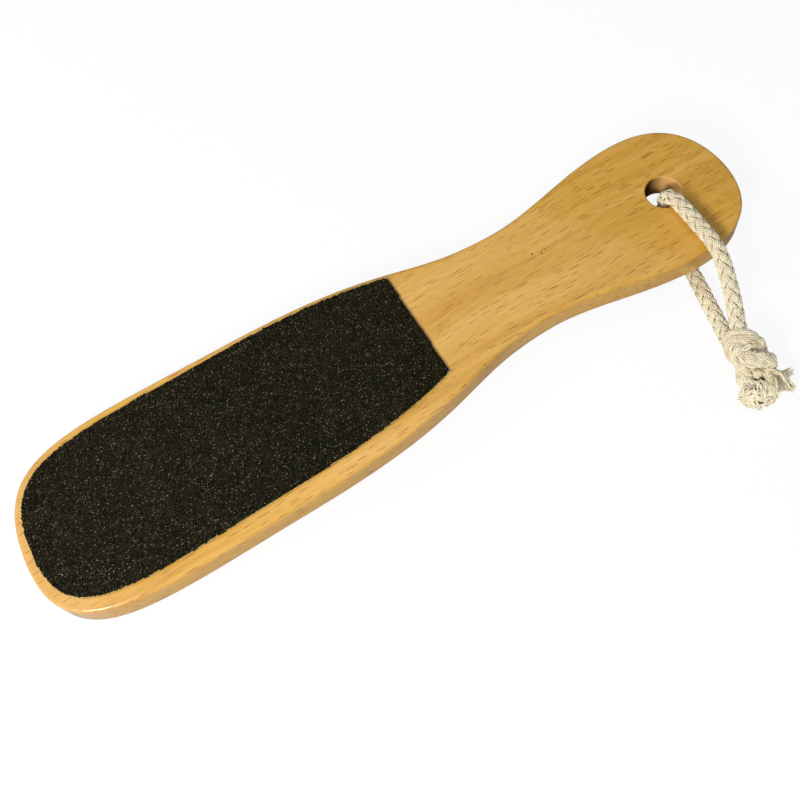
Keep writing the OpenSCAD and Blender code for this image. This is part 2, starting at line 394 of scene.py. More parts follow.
knotLines, knotWays = [], []
for leg in knot["cords"]:
    drawn = {**cord, **knot["plait"], "lay": leg["lay"], "seed": cord["seed"] + len(knotLines),
             "swing": leg.get("swing", cord["swing"])}
    knotLines += plaitLines(fromKnot(leg["way"]), drawn, knot["squeeze"] * leg.get("size", 1))
    knotWays.append(smoothLine(fromKnot(leg["way"]), cord["step"])[0])
ring = knot["ring"]
aroundRing = np.linspace(ring["start"], ring["start"] + 2 * math.pi, ring["points"])[:, None]
ringLine = fromKnot(ring["middle"] + np.cos(aroundRing) * ring["long"] + np.sin(aroundRing) * ring["wide"])
knotMesh = joinMeshes("cordKnot", [
    yarnMesh("knotYarns", knotLines, knot["plait"]["yarnDiameter"]),
    yarnMesh("knotCore", knotWays, cord["core"] * knot["squeeze"], 3),
    yarnMesh("knotRing", [ringLine], ring["diameter"], 1),
    fuzzMesh("knotFuzz", knotLines, **knot["fuzz"]),
])
depthUnder(knotMesh, np.vstack(knotWays), *knot["depthRadii"])
cordKnot = newObject("cordKnot", knotMesh, plaitedCotton, "cord_loop", ["cord_knot"])
print("cord: knot", len(knotMesh.polygons), "faces")

# the bushy left end, a ball of loose yarn: sizes in mm, angles in degrees over the ball from the neck
tuft = {
    "root": (8.2, -3.9, -2.1), "middle": (13.0, -1.9, -1.9), "reach": (4.0, 5.6, 3.8),
    "yarnDiameter": 0.5, "lay": 7.0, "wave": 0.2, "step": 0.5, "seed": 21,
    "fuzz": {"count": 500, "reach": 1.1, "seed": 13},
    # long locks leave the neck, bend over the ball in layers and curl in at their cut ends
    "lockYarns": 4, "lockWidth": (0.5, 0.9, 0.99), "neckAngle": 48,
    "layers": [
        {"locks": 24, "share": 0.85, "ends": (100, 165)},
        {"locks": 20, "share": 0.68, "ends": (110, 178)},
        {"locks": 12, "share": 0.5, "ends": (110, 178)},
    ],
    # short curls lie every way over the skin; the crown's fill the gap where the locks part on top
    "curls": 62, "curlCosines": (0.5, -0.97), "goldenAngle": 2.4, "curlWidth": (0.3, 0.55, 0.45),
    "curlBow": [(-0.68, 0.66), (-0.38, 0.9), (0, 1), (0.38, 0.9), (0.68, 0.66)],
    "crown": [(98, 114), (108, 122), (112, 132), (121, 118), (104, 138), (116, 124)],
    # cut ends come up through the skin on the far side from the neck
    "cutEnds": 44, "cutAngles": (75, 165), "cutWidth": (0.3, 0.5), "shortYarns": 2,
    # as shares of the reach: where the painted shade starts and how far in it takes to be full
    "depthStart": 1.01, "depthSpan": 0.2,
}


def lockLines(rng, way, yarns, width, bundle):
    # a lock's yarns lie side by side, twist a little and are cut at slightly different lengths
    middle, run = smoothLine(way, bundle["step"])
    across, over = carriedFrames(middle)[1:]
    t = run / run[-1]
    lines = []
    for _ in range(yarns):
        start, far = rng.uniform(0, 2 * math.pi), math.sqrt(rng.random())
        shake = [rng.uniform(0, 6.3) for _ in range(3)]
        turn = start + 2 * math.pi * run / bundle["lay"]
        spread = far * np.interp(t, np.linspace(0, 1, len(width)), width)
        line = middle + (spread * np.cos(turn))[:, None] * across
        line = line + (0.8 * spread * np.sin(turn))[:, None] * over
        sway = np.stack([np.sin(run * 1.9 + s) + 0.5 * np.sin(run * 4.1 + 2 * s) for s in shake], 1)
        line = line + bundle["wave"] * np.minimum(1, 3 * t)[:, None] * sway
        kept = max(6, int(len(line) * rng.uniform(0.86, 1.0)))
        lines.append(fromKnot(line[:kept]))
    return lines


def liftOntoTable(lines, thickness):
    for line in lines:
        line[:, 2] = np.maximum(line[:, 2], thickness / 2)
    return lines


def tuftLines():
    rng = random.Random(tuft["seed"])
    root, middle, reach = (np.array(tuft[k]) for k in ("root", "middle", "reach"))

    def outward(polar, around):
        side = math.sin(polar)
        return np.array([-math.cos(polar), side * math.cos(around), side * math.sin(around)])

    def onBall(polar, around, share):
        return middle + share * reach * outward(polar, around)

    ways = []
    for layer in tuft["layers"]:
        for lock in range(layer["locks"]):
            around = 2 * math.pi * (lock + rng.uniform(-0.35, 0.35)) / layer["locks"]
            share = layer["share"] * rng.uniform(0.92, 1.04)
            drift = rng.uniform(-0.7, 0.7)
            first, last = math.radians(tuft["neckAngle"]), math.radians(rng.uniform(*layer["ends"]))
            collar = np.array([0, math.cos(around), math.sin(around)])
            way = [root - (1.5, 0, 0) + 0.9 * collar, root + (0.8, 0.2, 0) + 1.5 * share * collar]
            way += [onBall(first + (last - first) * t, around + drift * t, share)
                    for t in (0, 0.25, 0.5, 0.75, 1)]
            way.append(onBall(last + 0.25, around + drift * 1.4, share * rng.uniform(0.55, 0.95)))
            ways.append((way, tuft["lockYarns"], tuft["lockWidth"]))
    # golden-angle steps spread the curls evenly from the first cosine to the last
    firstCosine, lastCosine = tuft["curlCosines"]
    curls = []
    for k in range(tuft["curls"]):
        cosine = firstCosine + (lastCosine - firstCosine) * (k + 0.5) / tuft["curls"]
        curls.append((math.acos(cosine), tuft["goldenAngle"] * k + rng.uniform(-0.3, 0.3)))
    curls += [(math.radians(polar), math.radians(around)) for polar, around in tuft["crown"]]
    for polar, around in curls:
        out = outward(polar, around)
        tangent = np.cross(out, [rng.gauss(0, 1) for _ in range(3)])
        tangent = tangent / np.linalg.norm(tangent)
        share = rng.uniform(0.92, 1.05)
        way = [middle + share * sunk * reach * (math.cos(t) * out + math.sin(t) * tangent)
               for t, sunk in tuft["curlBow"]]
        ways.append((way, tuft["shortYarns"], tuft["curlWidth"]))
    for _ in range(tuft["cutEnds"]):
        polar, around = math.radians(rng.uniform(*tuft["cutAngles"])), rng.uniform(0, 2 * math.pi)
        way = [onBall(polar - 0.5, around - 0.5, 0.35), onBall(polar - 0.3, around, 0.72),
               onBall(polar, around + 0.3, rng.uniform(0.92, 1.1))]
        ways.append((way, tuft["shortYarns"], tuft["cutWidth"]))
    lines = []
    for way, yarns, width in ways:
        lines += lockLines(rng, way, yarns, width, tuft)
    return liftOntoTable(lines, tuft["yarnDiameter"])


tuftYarns = tuftLines()
tuftMesh = joinMeshes("leftTuft", [
    yarnMesh("tuftYarns", tuftYarns, tuft["yarnDiameter"], 1),
    fuzzMesh("tuftFuzz", tuftYarns, **tuft["fuzz"]),
])
inBall = ((placesOf(tuftMesh) - knot["middle"]) @ knotFrame.T - tuft["middle"]) / tuft["reach"]
storeDepth(tuftMesh, (tuft["depthStart"] - np.linalg.norm(inBall, axis=1)) / tuft["depthSpan"])
leftTuft = newObject("leftTuft", tuftMesh, lightenedCotton, "cord_loop", ["frayed_end_left"])
print("cord: left end", len(tuftMesh.polygons), "faces")

# the splayed right end: locks of crimped yarn, each along its own curve, in mm
fray = {
    "yarnDiameter": 0.26, "taper": 0.35, "lay": 30.0, "wave": 0.15, "step": 0.35, "seed": 33,
    "fuzz": {"count": 400, "reach": 1.3, "seed": 17},
    # the yarns of one strand stay side by side as a flat ribbon that widens towards its cut end
    "ribbon": 4, "gap": 0.27, "widening": (0.8, 1.3),
    "locks": [
        {"clumps": 10, "width": (0.9, 1.3, 1.35, 1.1, 0.9), "way": [
            (7.3, 0.7, -1.2), (7.6, 2.7, -0.4), (8.1, 4.4, 0.4), (9.2, 5.8, 0.3),
            (10.9, 7.1, -0.6), (12.7, 8.5, -1.8), (13.6, 10.3, -3.0)]},
        {"clumps": 8, "width": (0.6, 0.8, 1.0, 1.2), "way": [
            (7.4, 0.9, -1.6), (8.6, 4.2, -1.2), (9.2, 6.7, -1.2), (8.2, 9.4, -1.6), (7.4, 12.0, -2.2)]},
        {"clumps": 6, "width": (0.7, 0.8, 0.9, 0.9), "way": [
            (7.6, 0.9, -1.4), (8.5, 2.6, -1.4), (10.5, 4.4, -1.2), (12.1, 6.0, -1.8),
            (12.9, 8.0, -2.6), (13.6, 10.3, -3.6)]},
        {"clumps": 16, "width": (0.7, 1.2, 1.6, 1.7), "way": [
            (7.4, 0.8, -1.0), (8.3, 2.5, -0.4), (11.0, 2.5, 0.8), (13.4, 1.9, 1.2),
            (15.2, 1.3, 0.5), (16.2, 1.3, -1.6)]},
        {"clumps": 7, "width": (0.6, 0.8, 0.7, 0.6), "way": [
            (7.6, 0.9, -1.1), (9.6, 3.5, -1.2), (12.0, 4.2, -1.2), (13.1, 5.3, -2.0), (13.9, 6.4, -3.0)]},
        {"clumps": 6, "width": (0.6, 0.8, 0.9, 0.8), "way": [
            (7.4, 1.0, -1.7), (8.5, 3.4, -1.8), (9.9, 5.5, -1.6), (10.1, 8.3, -1.8), (10.6, 10.1, -2.4)]},
    ],
}


def frayLines():
    rng = random.Random(fray["seed"])
    lines = []
    for lock in fray["locks"]:
        for clump in lockLines(rng, lock["way"], lock["clumps"], lock["width"], fray):
            across, over = carriedFrames(clump)[1:]
            tilt = rng.uniform(0, math.pi)
            flat = math.cos(tilt) * across + math.sin(tilt) * over
            widening = np.linspace(*fray["widening"], len(clump))
            for k in range(fray["ribbon"]):
                size = max(6, int(len(clump) * rng.uniform(0.9, 1.0)))
                apart = fray["gap"] * (k - (fray["ribbon"] - 1) / 2) * widening
                lines.append((clump + apart[:, None] * flat)[:size])
    return liftOntoTable(lines, fray["yarnDiameter"])


frayYarns = frayLines()
frayMesh = joinMeshes("rightFray", [
    yarnMesh("frayYarns", frayYarns, fray["yarnDiameter"], taper=fray["taper"]),
    fuzzMesh("frayFuzz", frayYarns, **fray["fuzz"]),
])
rightFray = newObject("rightFray", frayMesh, lightenedCotton, "cord_loop", ["frayed_end_right"])
print("cord: right end", len(frayMesh.polygons), "faces")


# the wooden paddle, sizes in mm as in the part's source
board = {
    "length": 240.0, "thickness": 9.4, "headWidth": 56.4, "neckWidth": 34.4, "handleWidth": 49.6,
    "headReach": 72.6, "neckReach": 160.7, "handleReach": 213.5, "curveSteps": 40,
    # how far the handles of the outline's four curves reach, leaving and arriving
    "curveShares": ((1.14, 0.7), (0.65, 0.37), (0.32, 0.37), (0.92, 0.27)),
    "hole": 12.0, "holeInset": 23.7, "holeSteps": 32,
    "rim": 1.0, "rimSteps": 6, "holeRim": 0.35, "holeRimSteps": 3,
    # as it lies: leaned by so many degrees, with its middle so high over the table
    "lean": 1.32011, "rise": 8.28017,
}
halfLength, halfThick = board["length"] / 2, board["thickness"] / 2
holeX, holeR = halfLength - board["holeInset"], board["hole"] / 2
leanAngle = math.radians(board["lean"])
laid = Matrix.Translation((0, 0, board["rise"] * mm)) @ Matrix.Rotation(-leanAngle, 4, "Y")


def laidMesh(bm, name):
    # from mm on the flat board to metres as it lies
    bmesh.ops.scale(bm, vec=(mm, mm, mm), verts=bm.verts)
    bmesh.ops.transform(bm, matrix=laid, verts=bm.verts)
    return meshFrom(bm, name)


def halfOutline():
    # four curves from the tip over the head, the neck and the handle to the end
    tip, end = Vector((-halfLength, 0)), Vector((halfLength, 0))
    head = Vector((board["headReach"] - halfLength, board["headWidth"] / 2))
    neck = Vector((board["neckReach"] - halfLength, board["neckWidth"] / 2))
    handle = Vector((board["handleReach"] - halfLength, board["handleWidth"] / 2))
    toHead, toNeck, toHandle, toEnd = head.x - tip.x, neck.x - head.x, handle.x - neck.x, end.x - handle.x
    (tipOut, headIn), (headOut, neckIn), (neckOut, handleIn), (handleOut, endIn) = board["curveShares"]
    spans = [
        (tip, Vector((tip.x, head.y * tipOut)), Vector((head.x - toHead * headIn, head.y)), head),
        (head, head + Vector((toNeck * headOut, 0)), neck - Vector((toNeck * neckIn, 0)), neck),
        (neck, neck + Vector((toHandle * neckOut, 0)), handle - Vector((toHandle * handleIn, 0)), handle),
        (handle, Vector((handle.x + toEnd * handleOut, handle.y)), Vector((end.x, handle.y * endIn)), end),
    ]
    line = []
    for span in spans:
        line += [Vector((p.x, p.y)) for p in interpolate_bezier(*span, board["curveSteps"] + 1)[:-1]]
    return line + [end]


def makeBoard():
    bm = bmesh.new()
    half = halfOutline()
    turns = [math.pi * k / board["holeSteps"] for k in range(board["holeSteps"] + 1)]
    arc = [Vector((holeX + holeR * math.cos(t), holeR * math.sin(t))) for t in turns]
    # each half of the face runs along the outline and back round the hole
    up = [bm.verts.new((p.x, p.y, -halfThick)) for p in half]
    bow = [bm.verts.new((p.x, p.y, -halfThick)) for p in arc]
    down = [bm.verts.new((p.x, -p.y, -halfThick)) for p in half[1:-1]]
    stern = [bm.verts.new((p.x, -p.y, -halfThick)) for p in arc[1:-1]]
    bm.faces.new(up + bow)
    bm.faces.new([up[0]] + [bow[-1]] + stern[::-1] + [bow[0]] + [up[-1]] + down[::-1])
    bmesh.ops.recalc_face_normals(bm, faces=bm.faces)
    grown = bmesh.ops.extrude_face_region(bm, geom=bm.faces[:])
    bmesh.ops.translate(bm, verts=[g for g in grown["geom"] if isinstance(g, bmesh.types.BMVert)],
                        vec=(0, 0, board["thickness"]))
    bmesh.ops.recalc_face_normals(bm, faces=bm.faces)
    # level edges between a face and a wall get rounded, the hole's rim by less than the outer one
    outer, inner = [], []
    for edge in bm.edges:
        start, end = (v.co for v in edge.verts)
        if len(edge.link_faces) == 2 and abs(start.z - end.z) < 1e-6:
            if abs(edge.link_faces[0].normal.z - edge.link_faces[1].normal.z) > 0.5:
                middle = (start + end) / 2
                near = math.hypot(middle.x - holeX, middle.y) < holeR + board["holeRim"]
                (inner if near else outer).append(edge)
    for edges, offset, steps in ((outer, board["rim"], board["rimSteps"]),
                                 (inner, board["holeRim"], board["holeRimSteps"])):
        bmesh.ops.bevel(bm, geom=[e for e in edges if e.is_valid], offset=offset, offset_type="OFFSET",
                        segments=steps, profile=0.5, affect="EDGES", material=-1, clamp_overlap=False)
    # all faces but the big flat ones, with their many corners, are shaded smooth
    for face in bm.faces:
        face.smooth = len(face.verts) < 20
    return laidMesh(bm, "beechPaddle")


# sizes in mm; a pattern's three are along, across and through the board
wood = {
    "tones": [(0.28, "#d29b3a"), (0.5, "#dfac47"), (0.72, "#eab760")],
    "waver": 45.45, "waverShift": (0, 5, 5), "band": (125, 3.846, 8.333), "fibre": (6.667, 0.34483, 0.625),
    "fibreRelief": 0.1,
    # along the board from its middle: where the painted light towards the tip starts, and where it is full
    "paleFrom": -85, "paleTo": -118, "paleShare": 0.45, "pale": "#e0b27c",
    # one needle to a cell: how far the longest reach from their middle, in cells, and how much
    # narrower than long the needles are
    "fleck": "#9c500a",
    "flecks": [
        {"cell": (4.444, 1.5625, 0.4348), "thin": (1, 6.9, 1.6), "longest": 0.66, "strength": 0.88},
        {"cell": (3.774, 1.316, 0.3571), "thin": (1, 6.2, 1.6), "longest": 0.64, "strength": 0.66},
    ],
    # dark specks: places along and across from the board's middle, and radii
    "specks": [(47.8, 4.0, 0.42), (50.6, 2.5, 0.38), (52.3, 3.2, 0.24), (53.2, 3.5, 0.18)],
    "speck": "#2a1a08",
    # the wall's colour fades out between these distances beyond the drill's radius; the wall's painted
    # shade grows between the two reaches
    "wall": "#ecbc78", "wallSkin": (0.05, 0.2), "wallShade": "#4c2a0e", "wallShadeReach": (1, 7),
    "coatWeight": 0.8, "specular": 0.5, "bareSpecular": 0.05,
}
# the material reads the part's frame turned back flat, so places are given in that
turnedFlat = Matrix.Rotation(leanAngle, 4, "Y") @ laid


def addRayFlecks(tree, along, value):
    # dark needles up to about 4 mm long and 0.3 mm wide, a stronger and a fainter set
    for fleck in wood["flecks"]:
        cells = addNode(tree, "Mapping", {
            "Vector": along, "Scale": cellScale(*fleck["cell"])}).outputs["Vector"]
        seeds = addNode(tree, "TexVoronoi", {
            "Vector": cells, "Scale": 1, "Randomness": 0.75}, feature="F1")
        offset = addNode(tree, "VectorMath", {
            0: cells, 1: seeds.outputs["Position"]}, operation="SUBTRACT")
        needle = addNode(tree, "VectorMath", {
            0: offset.outputs[0], 1: fleck["thin"]}, operation="MULTIPLY")
        away = addNode(tree, "VectorMath", {0: needle.outputs[0]}, operation="LENGTH")
        chance = addNode(tree, "SeparateColor", {"Color": seeds.outputs["Color"]})
        size = addNode(tree, "Math", {
            0: chance.outputs[0], 1: fleck["longest"]}, operation="MULTIPLY")
        inside = addNode(tree, "Math", {
            0: size.outputs[0], 1: away.outputs["Value"]}, operation="SUBTRACT")
        edge = addNode(tree, "MapRange", {
            "Value": inside.outputs[0], 1: -0.02, 2: 0.1, 3: 0.0, 4: fleck["strength"]})
        value = addNode(tree, "Mix", {
            "Factor": edge.outputs[0], "A": value, "B": hexColor(wood["fleck"])},
            data_type="RGBA").outputs["Result"]
    return value


def addSpecks(tree, flat, value):
    # a few dark specks in the front face
    for x, y, radius in wood["specks"]:
        spot = turnedFlat @ Vector((x * mm, y * mm, halfThick * mm))
        offset = addNode(tree, "VectorMath", {0: flat, 1: spot}, operation="DISTANCE")
        speck = addNode(tree, "MapRange", {
            "Value": offset.outputs["Value"], 1: radius * mm, 2: radius * mm * 0.6, 3: 0.0, 4: 0.9})
        value = addNode(tree, "Mix", {
            "Factor": speck.outputs[0], "A": value, "B": hexColor(wood["speck"])},
            data_type="RGBA").outputs["Result"]
    return value


def addDrilledWall(tree, flat, value):
    # the drilled hole's end grain drank the lacquer, so its wall is matt; its darker side is painted shade
    holePlace = turnedFlat @ Vector((holeX * mm, 0, 0))
    hole = addNode(tree, "VectorMath", {0: flat, 1: holePlace}, operation="SUBTRACT")
    level = addNode(tree, "VectorMath", {0: hole.outputs[0], 1: (1, 1, 0)}, operation="MULTIPLY")
    away = addNode(tree, "VectorMath", {0: level.outputs[0]}, operation="LENGTH")
    wallFrom, wallTo = [(holeR + skin) * mm for skin in wood["wallSkin"]]
    wall = addNode(tree, "MapRange", {
        "Value": away.outputs["Value"], 1: wallFrom, 2: wallTo, 3: 1.0, 4: 0.0}).outputs[0]
    # painted shade: the wall is painted dark on the side towards the neck and the board's far edge, where
    # the key lamp's light doesn't reach
    sideways = addNode(tree, "VectorMath", {
        0: level.outputs[0], 1: (-1, 1, 0)}, operation="DOT_PRODUCT")
    shadeFrom, shadeTo = [reach * mm for reach in wood["wallShadeReach"]]
    wallShade = addNode(tree, "MapRange", {
        "Value": sideways.outputs["Value"], 1: shadeFrom, 2: shadeTo, 3: 0.0, 4: 1.0})
    shadedWall = addNode(tree, "Mix", {
        "Factor": wallShade.outputs[0], "A": hexColor(wood["wall"]), "B": hexColor(wood["wallShade"])},
        data_type="RGBA")
    stained = addNode(tree, "Mix", {
        "Factor": wall, "A": value, "B": shadedWall.outputs["Result"]}, data_type="RGBA")
    return stained.outputs["Result"], wall


def beechMaterial():
    # lacquered beech, sawn on the tangent: warm tan, short dark ray flecks along the grain
    material, tree, shader = newMaterial("lacquered beech")
    coords = addNode(tree, "TexCoord")
    flat = addNode(tree, "Mapping", {
        "Vector": coords.outputs["Object"], "Rotation": (0, leanAngle, 0)}).outputs["Vector"]
    # the grain wavers from side to side instead of running dead straight
    wave = addNode(tree, "TexNoise", {
        "Vector": flat, "Scale": cellScale(wood["waver"]), "Detail": 1})
    shifted = addNode(tree, "VectorMath", {
        0: wave.outputs["Color"], 1: (0.5, 0.5, 0.5)}, operation="SUBTRACT")
    small = addNode(tree, "VectorMath", {
        0: shifted.outputs[0], 1: [shift * mm for shift in wood["waverShift"]]}, operation="MULTIPLY")
    grain = addNode(tree, "VectorMath", {0: flat, 1: small.outputs[0]}, operation="ADD")
    along = grain.outputs[0]

    # broad growth bands and fine fibres, both drawn out along the board
    bandMap = addNode(tree, "Mapping", {"Vector": along, "Scale": cellScale(*wood["band"])})
    band = addNode(tree, "TexNoise", {
        "Vector": bandMap.outputs["Vector"], "Scale": 1, "Detail": 3})
    fibreMap = addNode(tree, "Mapping", {"Vector": along, "Scale": cellScale(*wood["fibre"])})
    fibre = addNode(tree, "TexNoise", {
        "Vector": fibreMap.outputs["Vector"], "Scale": 1, "Detail": 4, "Roughness": 0.65})
    color = addNode(tree, "ValToRGB", {"Fac": band.outputs["Fac"]})
    setRamp(color, wood["tones"])
    fibreTone = addNode(tree, "MapRange", {
        "Value": fibre.outputs["Fac"], 1: 0.3, 2: 0.7, 3: 0.86, 4: 1.13})
    toned = addNode(tree, "VectorMath", {
        0: color.outputs["Color"], "Scale": fibreTone.outputs[0]}, operation="SCALE")

    # painted light: the board is drawn a little paler towards the tip of the head, nearest the key lamp
    place = addNode(tree, "SeparateXYZ", {"Vector": flat})
    pale = addNode(tree, "MapRange", {
        "Value": place.outputs["X"], 1: wood["paleFrom"] * mm, 2: wood["paleTo"] * mm,
        3: 0.0, 4: wood["paleShare"]})
    litTowardsTip = addNode(tree, "Mix", {
        "Factor": pale.outputs[0], "A": toned.outputs[0], "B": hexColor(wood["pale"])}, data_type="RGBA")

    flecked = addRayFlecks(tree, along, litTowardsTip.outputs["Result"])
    stained, wall = addDrilledWall(tree, flat, addSpecks(tree, flat, flecked))
    tree.links.new(stained, shader.inputs["Base Color"])
    coat = addNode(tree, "MapRange", {
        "Value": wall, 1: 0.0, 2: 1.0, 3: wood["coatWeight"], 4: 0.0})
    tree.links.new(coat.outputs[0], shader.inputs["Coat Weight"])
    gloss = addNode(tree, "MapRange", {
        "Value": wall, 1: 0.0, 2: 1.0, 3: wood["specular"], 4: wood["bareSpecular"]})
    tree.links.new(gloss.outputs[0], shader.inputs["Specular IOR Level"])
    bump = addNode(tree, "Bump", {
        "Height": fibre.outputs["Fac"], "Strength": 0.12, "Distance": wood["fibreRelief"] * mm})
    tree.links.new(bump.outputs["Normal"], shader.inputs["Normal"])
    shader.inputs["Roughness"].default_value = 0.42
    shader.inputs["Coat Roughness"].default_value = 0.05
    return material


paddle = newObject("beechPaddle", makeBoard(), beechMaterial(), "file", ["wooden_paddle"])
print("paddle:", len(paddle.data.polygons), "faces")


# the abrasive sheets on both faces, in mm
sheet = {
    "border": 3.6, "reach": 125.2, "glue": 0.15, "cloth": 0.35, "grit": 0.4,
    # each side's place, and the spacing and unevenness of its grains
    "front": {"slip": (-1.2, 1.3), "turn": 1.0, "cell": 0.33, "relief": 0.22, "seed": 3},
    "rear": {"slip": (0, 0), "turn": 0, "cell": 0.3465, "relief": 0.11, "seed": 8},
    # the coat's edge hangs over the cloth a little and wavers; a grain strays by a share of its cell
    "overhang": 0.14, "waver": 0.21, "waversPerMm": 0.35, "strayShare": 0.2727,
    # over the last stretch before the cut the coat thins out to this share
    "worn": 1.1, "wornShare": 0.25, "overrun": 2,
}


def sheetCast(side):
    # the sheet was stuck on a little out of place and turned about its own middle
    middle = sheet["reach"] / 2 - halfLength
    back = Matrix.Translation((-middle, 0, 0))
    turn = Matrix.Rotation(math.radians(side["turn"]), 4, "Z")
    return Matrix.Translation((middle + side["slip"][0], side["slip"][1], 0)) @ turn @ back


def sheetEdge():
    # the board's outline drawn in by the bare border: places along the board and half widths there
    half = halfOutline()
    ring = half + [Vector((p.x, -p.y)) for p in reversed(half[1:-1])]
    upper = []
    for i, p in enumerate(ring):
        along = (ring[(i + 1) % len(ring)] - ring[i - 1]).normalized()
        drawn = p + sheet["border"] * Vector((along.y, -along.x))
        if drawn.y >= 0:
            upper.append((drawn.x, drawn.y))
    upper.sort()
    return [p[0] for p in upper], [p[1] for p in upper]


def gritMesh(name, side, underside=False):
    # a fine grid cut to the sheet's outline, every point a grain at its own height
    rng = random.Random(side["seed"])
    cell = side["cell"]
    xs, ys = sheetEdge()
    cut = sheet["reach"] - halfLength
    coatEnd = cut + 2 * sheet["overhang"]
    low, high = -halfLength + sheet["border"], cut + sheet["overrun"]
    width = board["headWidth"]
    bm = bmesh.new()
    bmesh.ops.create_grid(bm, x_segments=int((high - low) / cell), y_segments=int(width / cell), size=0.5)
    bmesh.ops.scale(bm, vec=(high - low, width, 1), verts=bm.verts)
    bmesh.ops.translate(bm, vec=((high + low) / 2, 0, 0), verts=bm.verts)
    cast = sheetCast(side)
    outside = []
    for v in bm.verts:
        x, y = v.co.x, v.co.y
        wave = noise.noise((x * sheet["waversPerMm"], math.copysign(3, y), side["seed"]))
        edge = float(np.interp(x, xs, ys, left=0, right=0)) + sheet["overhang"] + sheet["waver"] * wave
        if abs(y) > edge or x < xs[0] or (cast @ v.co).x > coatEnd:
            outside.append(v)
    bmesh.ops.delete(bm, geom=outside, context="VERTS")
    lonely = [v for v in bm.verts if len(v.link_faces) < 2]
    bmesh.ops.delete(bm, geom=lonely, context="VERTS")
    for v in bm.verts:
        v.co = cast @ v.co
        # the knife broke the outermost grains, so the coat thins out over the last millimetre
        whole = min(1, max(0, (coatEnd - v.co.x) / sheet["worn"]))
        v.co.x += rng.uniform(-1, 1) * sheet["strayShare"] * cell
        v.co.y += rng.uniform(-1, 1) * sheet["strayShare"] * cell
        height = sheet["grit"] - side["relief"] * rng.random() ** 1.5
        v.co.z = height * (sheet["wornShare"] + (1 - sheet["wornShare"]) * whole)
    # a wall goes down from the edge to the cloth, and one face closes the underside
    border = [e for e in bm.edges if e.is_boundary]
    grown = bmesh.ops.extrude_edge_only(bm, edges=border)
    for v in (g for g in grown["geom"] if isinstance(g, bmesh.types.BMVert)):
        v.co.z = 0
    rim = [g for g in grown["geom"] if isinstance(g, bmesh.types.BMEdge) and g.is_boundary]
    bmesh.ops.holes_fill(bm, edges=rim, sides=0)
    bmesh.ops.recalc_face_normals(bm, faces=bm.faces)
    level = halfThick + sheet["glue"] + sheet["cloth"]
    bmesh.ops.translate(bm, vec=(0, 0, level), verts=bm.verts)
    if underside:
        bmesh.ops.rotate(bm, cent=(0, 0, 0), matrix=Matrix.Rotation(math.pi, 3, "X"), verts=bm.verts)
    return laidMesh(bm, name)


# widths in mm; real fine grains are about 0.1 mm wide and are drawn coarser here, so that they show
grains = {
    "coarse": 0.17, "fine": 0.3, "patch": 11.11,
    # the share of the grains below each tone; the darkest and the brightest, a painted glint, are each
    # side's own
    "tones": [(0.42, "#0e0e07"), (0.62, "#2a2817"), (0.76, "#20341a"), (0.82, "#443d26"),
              (0.915, "#542a1c"), (0.94, "#6a6648")],
}


def gritMaterial(name, grain, base, paintedGlint):
    # silicon carbide grains in black resin: nearly black, with small brown grains, and small bright ones
    # that are painted glints
    material, tree, shader = newMaterial(name)
    coords = addNode(tree, "TexCoord")
    cells = addNode(tree, "TexVoronoi", {
        "Vector": coords.outputs["Object"], "Scale": cellScale(grain)}, feature="F1")
    pick = addNode(tree, "SeparateColor", {"Color": cells.outputs["Color"]})
    ramp = addNode(tree, "ValToRGB", {"Fac": pick.outputs[0]})
    ramp.color_ramp.interpolation = "CONSTANT"
    setRamp(ramp, [(0.0, base)] + grains["tones"] + [(0.985, paintedGlint)])
    # broad patches are a little more or less clogged
    patch = addNode(tree, "TexNoise", {
        "Vector": coords.outputs["Object"], "Scale": cellScale(grains["patch"]), "Detail": 2})
    tone = addNode(tree, "MapRange", {
        "Value": patch.outputs["Fac"], 1: 0.3, 2: 0.7, 3: 0.58, 4: 0.72})
    toned = addNode(tree, "VectorMath", {
        0: ramp.outputs["Color"], "Scale": tone.outputs[0]}, operation="SCALE")
    tree.links.new(toned.outputs[0], shader.inputs["Base Color"])
    shader.inputs["Roughness"].default_value = 0.6
    shader.inputs["Specular IOR Level"].default_value = 0.1
    return material


coarseGrit = gritMaterial("black silicon carbide, coarse", grains["coarse"], "#040502", "#c4c0a6")
fineGrit = gritMaterial("black silicon carbide, fine", grains["fine"], "#131211", "#77736b")
frontGrit = newObject("frontGrit", gritMesh("frontGrit", sheet["front"]),
                      coarseGrit, "file", ["front_grit"])
rearGrit = newObject("rearGrit", gritMesh("rearGrit", sheet["rear"], underside=True),
                     fineGrit, "file", ["rear_grit"])


def dressNode(name, material):
    # a CAD node that stays in the picture gets the material of what it is made of
    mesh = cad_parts[name].data
    mesh.materials.clear()
    mesh.materials.append(material)


def layerMaterial(name, light, dark, grain, roughness):
    # the thin edge of a layer: two close tones in soft patches as wide as the grain, in mm
    material, tree, shader = newMaterial(name)
    coords = addNode(tree, "TexCoord")
    weave = addNode(tree, "TexNoise", {
        "Vector": coords.outputs["Object"], "Scale": cellScale(grain), "Detail": 2})
    ramp = addNode(tree, "ValToRGB", {"Fac": weave.outputs["Fac"]})
    setRamp(ramp, [(0.35, dark), (0.65, light)])
    tree.links.new(ramp.outputs["Color"], shader.inputs["Base Color"])
    shader.inputs["Roughness"].default_value = roughness
    return material


# set glue squeezed out to the sheet's edge, and the cloth's pale cut threads
gluedEdge = layerMaterial("dried contact glue", "#b98d4e", "#8e6a38", grain=0.9, roughness=0.35)
cutCloth = layerMaterial("backing cloth, cut edge", "#dcc37c", "#b0965a", grain=0.35, roughness=0.9)
for side in ("front", "rear"):
    dressNode(side + "_adhesive", gluedEdge)
    dressNode(side + "_backing", cutCloth)

